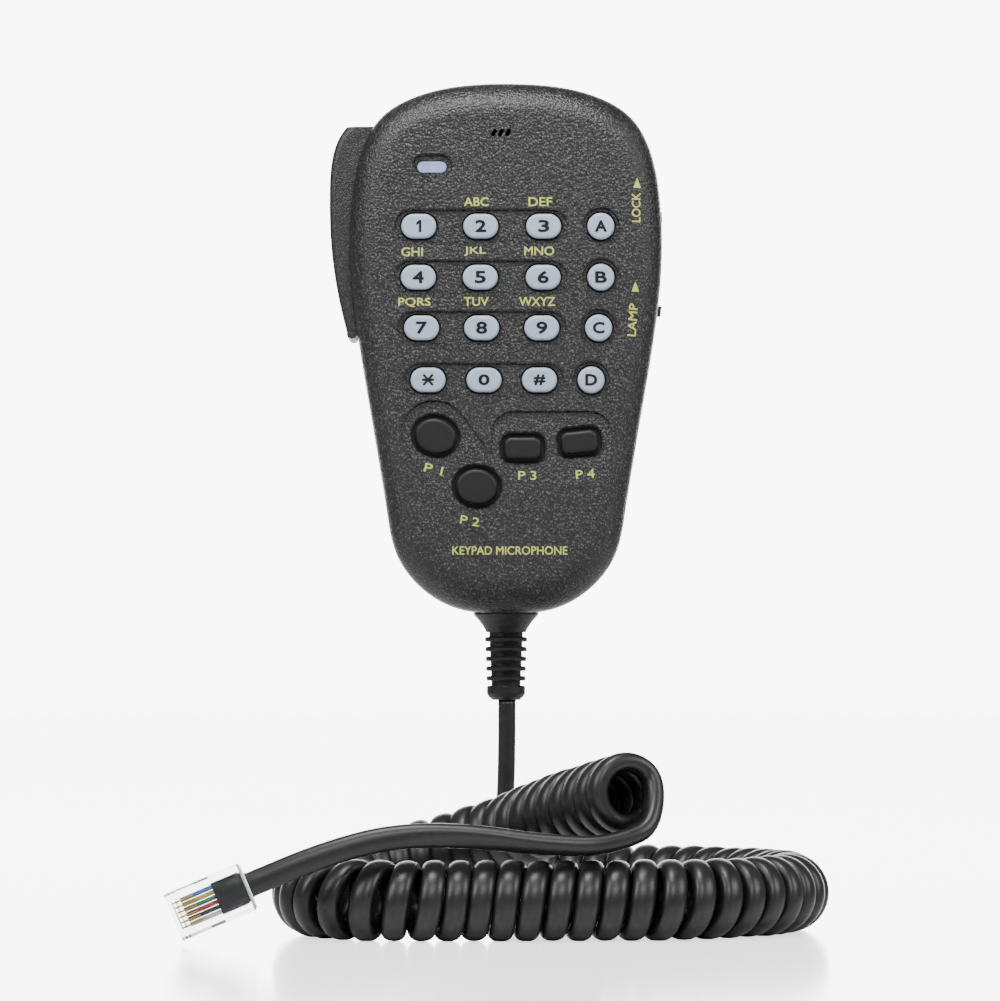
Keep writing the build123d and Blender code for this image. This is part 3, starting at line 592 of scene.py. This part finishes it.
def cord_widths(line, cord):
    """The oval's two sides at each station: inside the plug the jacket is pressed wide and flat."""
    rear, _, _, along = plug_frame()
    depth = np.where(np.arange(len(line)) > len(line) - 40, (line - rear) @ along, -1.0)
    pressed = np.clip((depth + 0.0004) / 0.0012, 0, 1)
    return cord.wide + pressed * (0.0066 - cord.wide), cord.thin + pressed * (0.0032 - cord.thin)


def blended(line, joints):
    """The line with its joints rounded: near each one it is replaced by its running mean."""
    soft = smoothed(smoothed(line, 5), 4)
    number = np.arange(len(line))
    near = np.max([np.exp(-((number - joint) / 9.0) ** 2) for joint in joints], axis=0)[:, None]
    return line * (1 - near) + soft * near


# ---------------------------------------------------------------- print

def letter_edges(words):
    """The outlines of some words as straight edges, their box centred and one unit each way."""
    curve = bpy.data.curves.new("words", "FONT")
    curve.body = words
    curve.resolution_u = 4
    holder = bpy.data.objects.new("words", curve)
    mesh = bpy.data.meshes.new_from_object(holder)
    points = np.empty(len(mesh.vertices) * 3)
    mesh.vertices.foreach_get("co", points)
    corners = np.empty(len(mesh.loops), dtype=int)
    mesh.loops.foreach_get("edge_index", corners)
    ends = np.empty(len(mesh.edges) * 2, dtype=int)
    mesh.edges.foreach_get("vertices", ends)
    bpy.data.objects.remove(holder)
    bpy.data.curves.remove(curve)
    bpy.data.meshes.remove(mesh)
    rim = np.bincount(corners, minlength=len(ends) // 2) == 1
    edges = points.reshape(-1, 3)[ends.reshape(-1, 2)[rim]][:, :, :2]
    low, high = edges.min((0, 1)), edges.max((0, 1))
    return (edges - (low + high) / 2) / (high - low)


def loop_edges(corners):
    """The edges of a closed outline."""
    corners = np.array(corners)
    return np.stack([corners, np.roll(corners, -1, axis=0)], 1)


def arrow_edges():
    """A triangle that points up, one unit each way."""
    return loop_edges([(-0.5, -0.5), (0.5, -0.5), (0.0, 0.5)])


def one_edges():
    """A plain figure one: an upright stem with a short flag, one unit each way."""
    return loop_edges([(0.5, -0.5), (0.5, 0.5), (0.14, 0.5), (-0.5, 0.27), (-0.5, 0.13), (0.16, 0.31),
                       (0.16, -0.5)])


def star_edges():
    """A star of three bars, a level one and two slanting ones, one unit each way."""
    across, bar = 0.5, 0.055
    star = []
    for turn in np.radians([0.0, 52.0, 128.0]):
        along = np.array([math.cos(turn), math.sin(turn)])
        reach = across / max(abs(along))
        side = np.array([-along[1], along[0]]) * bar
        star.append(loop_edges([-along * reach - side, along * reach - side,
                                along * reach + side, -along * reach + side]))
    return star


def figure(word):
    """The outlines of a key's figure."""
    if word == "*":
        return star_edges()
    return [one_edges() if word == "1" else letter_edges(word.upper())]


def figure_size(word):
    """Width and height of a key's figure."""
    wide, tall = {"1": (0.85, 2.4), "0": (2.15, 2.1), "*": (2.4, 2.1), "#": (2.3, 2.1)}.get(
        word, (2.15, 2.4) if word.isdigit() else (2.3, 2.25))
    return wide * MM, tall * MM


def ink_field(edges, x, y):
    """How far inside the outline each point is: the distance to the nearest edge, positive inside.
    A point is inside when a level line from it crosses the outline an odd number of times."""
    nearest = np.full(x.shape, np.inf)
    inside = np.zeros(x.shape, dtype=bool)
    for (ax, ay), (bx, by) in edges:
        dx, dy = bx - ax, by - ay
        along = np.clip(((x - ax) * dx + (y - ay) * dy) / (dx * dx + dy * dy + 1e-18), 0, 1)
        nearest = np.minimum(nearest, np.hypot(x - ax - along * dx, y - ay - along * dy))
        if dy:
            inside ^= ((ay > y) != (by > y)) & (x < ax + (y - ay) / dy * dx)
    return np.where(inside, nearest, -nearest)


def inked(outlines, size, weight, step):
    """A drawing as a flat mesh: the outlines at their size, grown by weight, are cut from a grid of
    squares. A square on the edge is cut where the field between two corners comes to zero."""
    outlines = [edges * np.array(size) for edges in outlines]
    reach = np.array(size) / 2 + weight + 2 * step
    x, y = np.meshgrid(*[np.arange(-r, r + step, step) for r in reach])
    field = np.max([ink_field(edges, x, y) for edges in outlines], axis=0) + weight
    rows, columns = field.shape
    spots = np.arange(rows * columns).reshape(rows, columns)
    level = rows * columns + np.arange(rows * (columns - 1)).reshape(rows, columns - 1)
    upright = level[-1, -1] + 1 + np.arange((rows - 1) * columns).reshape(rows - 1, columns)
    with np.errstate(divide="ignore", invalid="ignore"):
        right = np.clip(np.nan_to_num(field[:, :-1] / (field[:, :-1] - field[:, 1:])), 0.02, 0.98) * step
        above = np.clip(np.nan_to_num(field[:-1] / (field[:-1] - field[1:])), 0.02, 0.98) * step
    points = np.vstack([np.column_stack([x.ravel(), y.ravel()]),
                        np.column_stack([(x[:, :-1] + right).ravel(), y[:, :-1].ravel()]),
                        np.column_stack([x[:-1].ravel(), (y[:-1] + above).ravel()])])
    ink = field > 0
    a, b, c, d = ink[:-1, :-1], ink[:-1, 1:], ink[1:, 1:], ink[1:, :-1]
    ring = np.stack([spots[:-1, :-1], level[:-1], spots[:-1, 1:], upright[:, 1:],
                     spots[1:, 1:], level[1:], spots[1:, :-1], upright[:, :-1]], -1).reshape(-1, 8)
    used = np.stack([a, a != b, b, b != c, c, c != d, d, d != a], -1).reshape(-1, 8)
    some = used.any(1)
    kept, number = np.unique(ring[used], return_inverse=True)
    renumbered = np.full(len(points), -1)
    renumbered[kept] = np.arange(len(kept))
    faces = [face[mask].tolist() for face, mask in zip(renumbered[ring[some]], used[some])]
    return points[kept], faces


def lay_print(name, drawing, centre, turn, target, body, material, thickness):
    """Print on a surface: the drawing is turned, set in front of the target and dropped straight
    back onto it, then given its thickness. centre is x and the distance below the face's top line."""
    points, faces = drawing
    cos, sin = math.cos(turn), math.sin(turn)
    x = points[:, 0] * cos - points[:, 1] * sin + centre[0] * MM
    z = points[:, 0] * sin + points[:, 1] * cos + (FACE_TOP - centre[1]) * MM
    front = np.column_stack([x, np.full(len(x), FACE - 4 * MM), z])
    piece = new_piece(name, front, faces, material, body, smooth=False)
    drop = piece.modifiers.new("drop", "SHRINKWRAP")
    drop.wrap_method = "PROJECT"
    drop.use_project_y = True
    drop.use_positive_direction = True
    drop.use_negative_direction = False
    drop.target = target
    depth = piece.modifiers.new("thickness", "SOLIDIFY")
    depth.thickness = thickness * 3
    depth.offset = 0.33
    bpy.context.view_layer.update()
    done = bpy.data.meshes.new_from_object(piece.evaluated_get(bpy.context.evaluated_depsgraph_get()))
    piece.modifiers.clear()
    piece.data = done
    done.name = name
    return piece


def all_legends():
    """The legends: name, words, place, width and height in millimetres, and turn in degrees."""
    return [("abc", "ABC", (-6.35, 25.0), (5.2, 1.85), 0), ("def", "DEF", (7.3, 25.0), (5.0, 1.85), 0),
            ("ghi", "GHI", (-20.0, 35.7), (4.5, 1.85), 0), ("jkl", "JKL", (-6.6, 35.6), (4.6, 1.85), 0),
            ("mno", "MNO", (7.05, 35.5), (6.3, 1.85), 0), ("pqrs", "PQRS", (-19.5, 46.5), (6.8, 1.95), 0),
            ("tuv", "TUV", (-6.35, 46.3), (5.2, 1.85), 0), ("wxyz", "WXYZ", (6.6, 46.3), (7.6, 1.85), 0),
            ("p1", "P 1", (-15.4, 82.0), (3.9, 1.8), -14), ("p2", "P 2", (-7.7, 93.0), (4.0, 1.8), -10),
            ("p3", "P 3", (4.5, 83.35), (3.8, 1.85), 0), ("p4", "P 4", (16.8, 83.05), (3.95, 1.85), 4),
            ("lock", "LOCK", (27.7, 26.2), (6.2, 1.8), 90), ("lamp", "LAMP", (26.9, 50.2), (6.9, 1.8), 86),
            ("title", "KEYPAD MICROPHONE", (0.8, 99.3), (24.4, 1.75), 0)]


# ---------------------------------------------------------------- operators

class HANDMIC_OT_case(Operator):
    """Finish the covers, the lever, the screws and the hanger stud"""
    bl_idname = "hand_mic.case"
    bl_label = "Finish Case"

    def execute(self, context):
        look = settings().case
        paint(grained_plastic("case_grain", look.plastic, look.plastic_highlight, look.grain,
                              look.grain_height), "front_cover", "rear_cover")
        # The lever's grain tops carry the same painted highlight, a little dimmer
        paint(grained_plastic("lever_grain", look.plastic, lighter(look.plastic_highlight, 0.7),
                              look.lever_grain, look.grain_height * 0.5), "ptt_lever")
        paint(satin_plastic("slider_black", (0.012, 0.012, 0.012), 0.4), "lock_slider", "lamp_slider")
        paint(metal("plated_steel", STEEL, 0.32), "case_screws", "hanger_screw",
              "board_screws", "ptt_pivot_pin")
        paint(metal("turned_nickel", (0.62, 0.60, 0.56), 0.22), "hanger_stud")
        return {"FINISHED"}


class HANDMIC_OT_keys(Operator):
    """Finish the keys, the top buttons and the lens"""
    bl_idname = "hand_mic.keys"
    bl_label = "Finish Keys"

    def execute(self, context):
        look = settings().keys
        paint(key_plastic(look.cap), *CAP_KEYS)
        paint(soft_rubber("soft_keys", look.soft, 0.48), *SOFT_KEYS, "up_button", "down_button")
        paint(window_lens(look.lens), "led_lens")
        return {"FINISHED"}


class HANDMIC_OT_legends(Operator):
    """Print the legends on the case and the digits on the keys"""
    bl_idname = "hand_mic.legends"
    bl_label = "Print Legends"

    def execute(self, context):
        look = settings().legends
        self.on_case(look, printed_ink("legend_ink", look.ink))
        self.on_keys(look, printed_ink("digit_ink", settings().keys.digits))
        return {"FINISHED"}

    def on_case(self, look, ink):
        """Yellow-green words and arrows on the front cover."""
        cover = NODES["front_cover"]
        for name, words, place, (wide, high), degrees in all_legends():
            drawing = inked([letter_edges(words)], (wide * MM, high * MM), look.weight, look.grid)
            lay_print("legend_" + name, drawing, place, math.radians(degrees), cover, BODY, ink,
                      look.thickness)
        for name, place in (("lock_arrow", (27.9, 20.95)), ("lamp_arrow", (27.5, 43.1))):
            drawing = inked([arrow_edges()], (1.55 * MM, 2.1 * MM), look.weight, look.grid)
            lay_print("legend_" + name, drawing, place, 0.0, cover, BODY, ink, look.thickness)

    def on_keys(self, look, ink):
        """Dark figures on the keypad keys, which ride with their keys."""
        for node, word in CAP_KEYS.items():
            low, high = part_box(node)
            middle = ((low.x + high.x) / 2 / MM, FACE_TOP - (low.z + high.z) / 2 / MM)
            drawing = inked(figure(word), figure_size(word), look.digit_weight, look.grid)
            lay_print("digit_" + node[4:], drawing, middle, 0.0, NODES[node], node, ink, look.thickness)


class HANDMIC_OT_insides(Operator):
    """Finish everything inside the case"""
    bl_idname = "hand_mic.insides"
    bl_label = "Finish Insides"

    def execute(self, context):
        paint(board_green(), "main_board")
        paint(satin_plastic("component_black", (0.02, 0.02, 0.021), 0.45), "controller_chip", "ptt_switch",
              "up_down_switches", "side_switches", "small_components", "ptt_plunger")
        paint(satin_plastic("carbon", (0.015, 0.015, 0.015), 0.7), "contact_pads")
        paint(satin_plastic("natural_nylon", (0.62, 0.58, 0.48), 0.45), "cord_connector", "cord_tie")
        paint(soft_rubber("silicone_mat", (0.16, 0.17, 0.18), 0.6), "keypad_mat")
        paint(soft_rubber("boot_rubber", (0.012, 0.012, 0.012), 0.6), "mic_boot")
        paint(metal("drawn_can", (0.72, 0.72, 0.72), 0.3), "crystal")
        paint(capsule_can(), "mic_capsule")
        paint(window_lens((0.75, 0.78, 0.6)), "status_led", "backlight_leds")
        step = np.array([1 / (6 * 1.3 * MM), 0, 0])
        paint(wire_colours(((-3.9 * MM, 0, 0), step)), "inner_wires")
        self.lever_spring(metal("spring_wire", STEEL, 0.32))
        return {"FINISHED"}

    def lever_spring(self, wire):
        """The lever's return spring. Its middle line is a helix along X: cos and sin of the angle, at
        the spring's radius."""
        low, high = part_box("ptt_spring")
        thick, turns, stations, sides = 0.44 * MM, 4.5, 200, 10
        along = np.linspace(0, 1, stations)
        angle = 2 * np.pi * turns * along
        radius = (high.z - low.z - thick) / 2
        path = np.column_stack([low.x + thick / 2 + (high.x - low.x - thick) * along,
                                (low.y + high.y) / 2 + radius * np.cos(angle),
                                (low.z + high.z) / 2 + radius * np.sin(angle)])
        gauge = np.full(stations, thick)
        points = oval_tube(path, np.tile([1.0, 0, 0], (stations, 1)), gauge, gauge, sides)
        piece = new_piece("lever_spring", points, tube_faces(stations, sides), wire)
        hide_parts("ptt_spring")
        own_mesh(piece)


class HANDMIC_OT_relief(Operator):
    """Finish the strain relief"""
    bl_idname = "hand_mic.relief"
    bl_label = "Finish Strain Relief"

    def execute(self, context):
        paint(soft_rubber("relief_rubber", lighter(settings().cord.jacket, 0.9), 0.42), "strain_relief")
        return {"FINISHED"}


class HANDMIC_OT_cord(Operator):
    """Build the oval cord: straight lead, curly stretch and plug lead"""
    bl_idname = "hand_mic.cord"
    bl_label = "Build Cord"

    def execute(self, context):
        cord = settings().cord
        line, broad = cord_line(cord)
        points = oval_tube(line, broad, *cord_widths(line, cord))
        sides = len(points) // len(line)
        piece = new_piece("cord", points, tube_faces(len(line), sides), cord_jacket(cord.jacket))
        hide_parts("cord_lead", "curly_cord", "plug_lead")
        return {"FINISHED"}


class HANDMIC_OT_plug(Operator):
    """Finish the plug's housing, latch, contacts and wires"""
    bl_idname = "hand_mic.plug"
    bl_label = "Finish Plug"

    def execute(self, context):
        look = settings().plug
        paint(clear_housing(look.clear), "plug_body", "plug_latch")
        paint(metal("contact_gold", look.gold, 0.2), "plug_contacts")
        rear, across, through, along = plug_frame()
        paint(wire_colours((rear - across * 3 * 1.02 * MM, across / (6 * 1.02 * MM))), "plug_wires")
        points, faces = collar(rear, across, through, along)
        new_piece("plug_rim", points, faces, satin_plastic("rim_white", (0.75, 0.76, 0.76), 0.25))
        return {"FINISHED"}


class HANDMIC_OT_stage(Operator):
    """Set the pale floor, the soft light and the camera"""
    bl_idname = "hand_mic.stage"
    bl_label = "Set Stage"

    def execute(self, context):
        look = settings().stage
        self.camera(context, look)
        self.floor(look)
        self.room(context, look)
        self.light(context, look)
        return {"FINISHED"}

    def camera(self, context, look):
        """A long lens in front of the case, just under it, tilted up a little."""
        lens = bpy.data.cameras.new("camera")
        lens.lens = look.focal
        lens.sensor_width = 36.0
        lens.clip_end = 20.0
        camera = bpy.data.objects.new("camera", lens)
        camera.location = (-1.3 * MM, FACE - look.distance, FLOOR + 54.5 * MM)
        camera.rotation_euler = (math.pi / 2 + look.tilt, 0, 0)
        context.scene.collection.objects.link(camera)
        context.scene.camera = camera

    def floor(self, look):
        """A wide, pale, slightly glossy disc under the coil."""
        corners, reach, gap = 96, 4.0, 0.05 * MM
        angle = np.linspace(0, 2 * np.pi, corners, endpoint=False)
        points = np.column_stack([np.cos(angle) * reach, np.sin(angle) * reach,
                                  np.full(corners, FLOOR - gap)])
        finish = Finish("floor_white", look.floor, 0.2)
        finish.rough(finish.noise(0.8, 2.0), 0.10, 0.14)
        seen = finish.node("ShaderNodeLightPath").outputs["Is Camera Ray"]
        finish.fixed(Emission_Color=(1, 1, 1, 1))
        finish.tree.links.new(finish.sums("MULTIPLY", seen, look.glow),
                              finish.shader.inputs["Emission Strength"])
        mesh = bpy.data.meshes.new("floor")
        mesh.from_pydata(points.tolist(), [], [list(range(corners))])
        mesh.materials.append(finish.material)
        floor = bpy.data.objects.new("floor", mesh)
        bpy.context.scene.collection.objects.link(floor)

    def room(self, context, look):
        """Even soft light from all round, and a bright white wall behind. The wall's edge is soft: its
        brightness goes from none to full as the direction comes nearer to straight back."""
        world = bpy.data.worlds.new("studio")
        world.use_nodes = True
        tree = world.node_tree
        light = tree.nodes["Background"]
        light.inputs["Color"].default_value = (1, 1, 1, 1)
        toward = tree.nodes.new("ShaderNodeSeparateXYZ")
        tree.links.new(tree.nodes.new("ShaderNodeTexCoord").outputs["Generated"], toward.inputs["Vector"])
        wall = tree.nodes.new("ShaderNodeMapRange")
        tree.links.new(toward.outputs["Y"], wall.inputs["Value"])
        for name, value in (("From Min", 0.86), ("From Max", 0.95), ("To Min", look.sky),
                            ("To Max", look.backdrop)):
            wall.inputs[name].default_value = value
        tree.links.new(wall.outputs["Result"], light.inputs["Strength"])
        context.scene.world = world

    def light(self, context, look):
        """Soft boxes just above the case, at the left, at the right and in front."""
        places = [((-0.03, -0.17, 0.27), 0.16, 0.20), ((-0.70, -0.50, 0.45), 0.6, 1.0),
                  ((0.75, -0.40, 0.35), 0.5, 0.7), ((0.1, -1.1, 0.60), 0.5, 1.0)]
        middle = np.array([0, -0.03, -0.03])
        for number, (place, size, share) in enumerate(places[:look.lamps]):
            lamp = bpy.data.lights.new(f"soft_box_{number + 1}", "AREA")
            lamp.shape = "DISK"
            lamp.size = size
            lamp.energy = look.panel * share
            holder = bpy.data.objects.new(lamp.name, lamp)
            holder.location = place
            aim = middle - np.array(place)
            holder.rotation_euler = (math.atan2(math.hypot(aim[0], aim[1]), -aim[2]), 0,
                                     math.atan2(aim[1], aim[0]) - math.pi / 2)
            context.scene.collection.objects.link(holder)


STEPS = ("stage", "case", "keys", "legends", "insides", "relief", "cord", "plug")


class HANDMIC_PT_build(Panel):
    """Settings and steps of the hand microphone"""
    bl_idname = "HANDMIC_PT_build"
    bl_label = "Hand Microphone"
    bl_space_type = "VIEW_3D"
    bl_region_type = "UI"
    bl_category = "Hand Mic"

    def draw(self, context):
        look = context.scene.hand_mic
        for group in (look.case, look.keys, look.legends, look.cord, look.plug, look.stage):
            box = self.layout.box()
            for name in group.__annotations__:
                box.prop(group, name)
        for step in STEPS:
            self.layout.operator("hand_mic." + step)


CLASSES = (CaseSettings, KeySettings, PrintSettings, CordSettings, PlugSettings, StageSettings, MicSettings,
           HANDMIC_OT_case, HANDMIC_OT_keys, HANDMIC_OT_legends, HANDMIC_OT_insides, HANDMIC_OT_relief,
           HANDMIC_OT_cord, HANDMIC_OT_plug, HANDMIC_OT_stage, HANDMIC_PT_build)


def register():
    """Adds the classes and the scene's settings."""
    for item in CLASSES:
        bpy.utils.register_class(item)
    bpy.types.Scene.hand_mic = PointerProperty(type=MicSettings)


def unregister():
    """Takes the classes and the scene's settings away."""
    del bpy.types.Scene.hand_mic
    for item in reversed(CLASSES):
        bpy.utils.unregister_class(item)


def main():
    """Runs every step in order."""
    register()
    for step in STEPS:
        getattr(bpy.ops.hand_mic, step)()


if __name__ == "__main__":
    main()
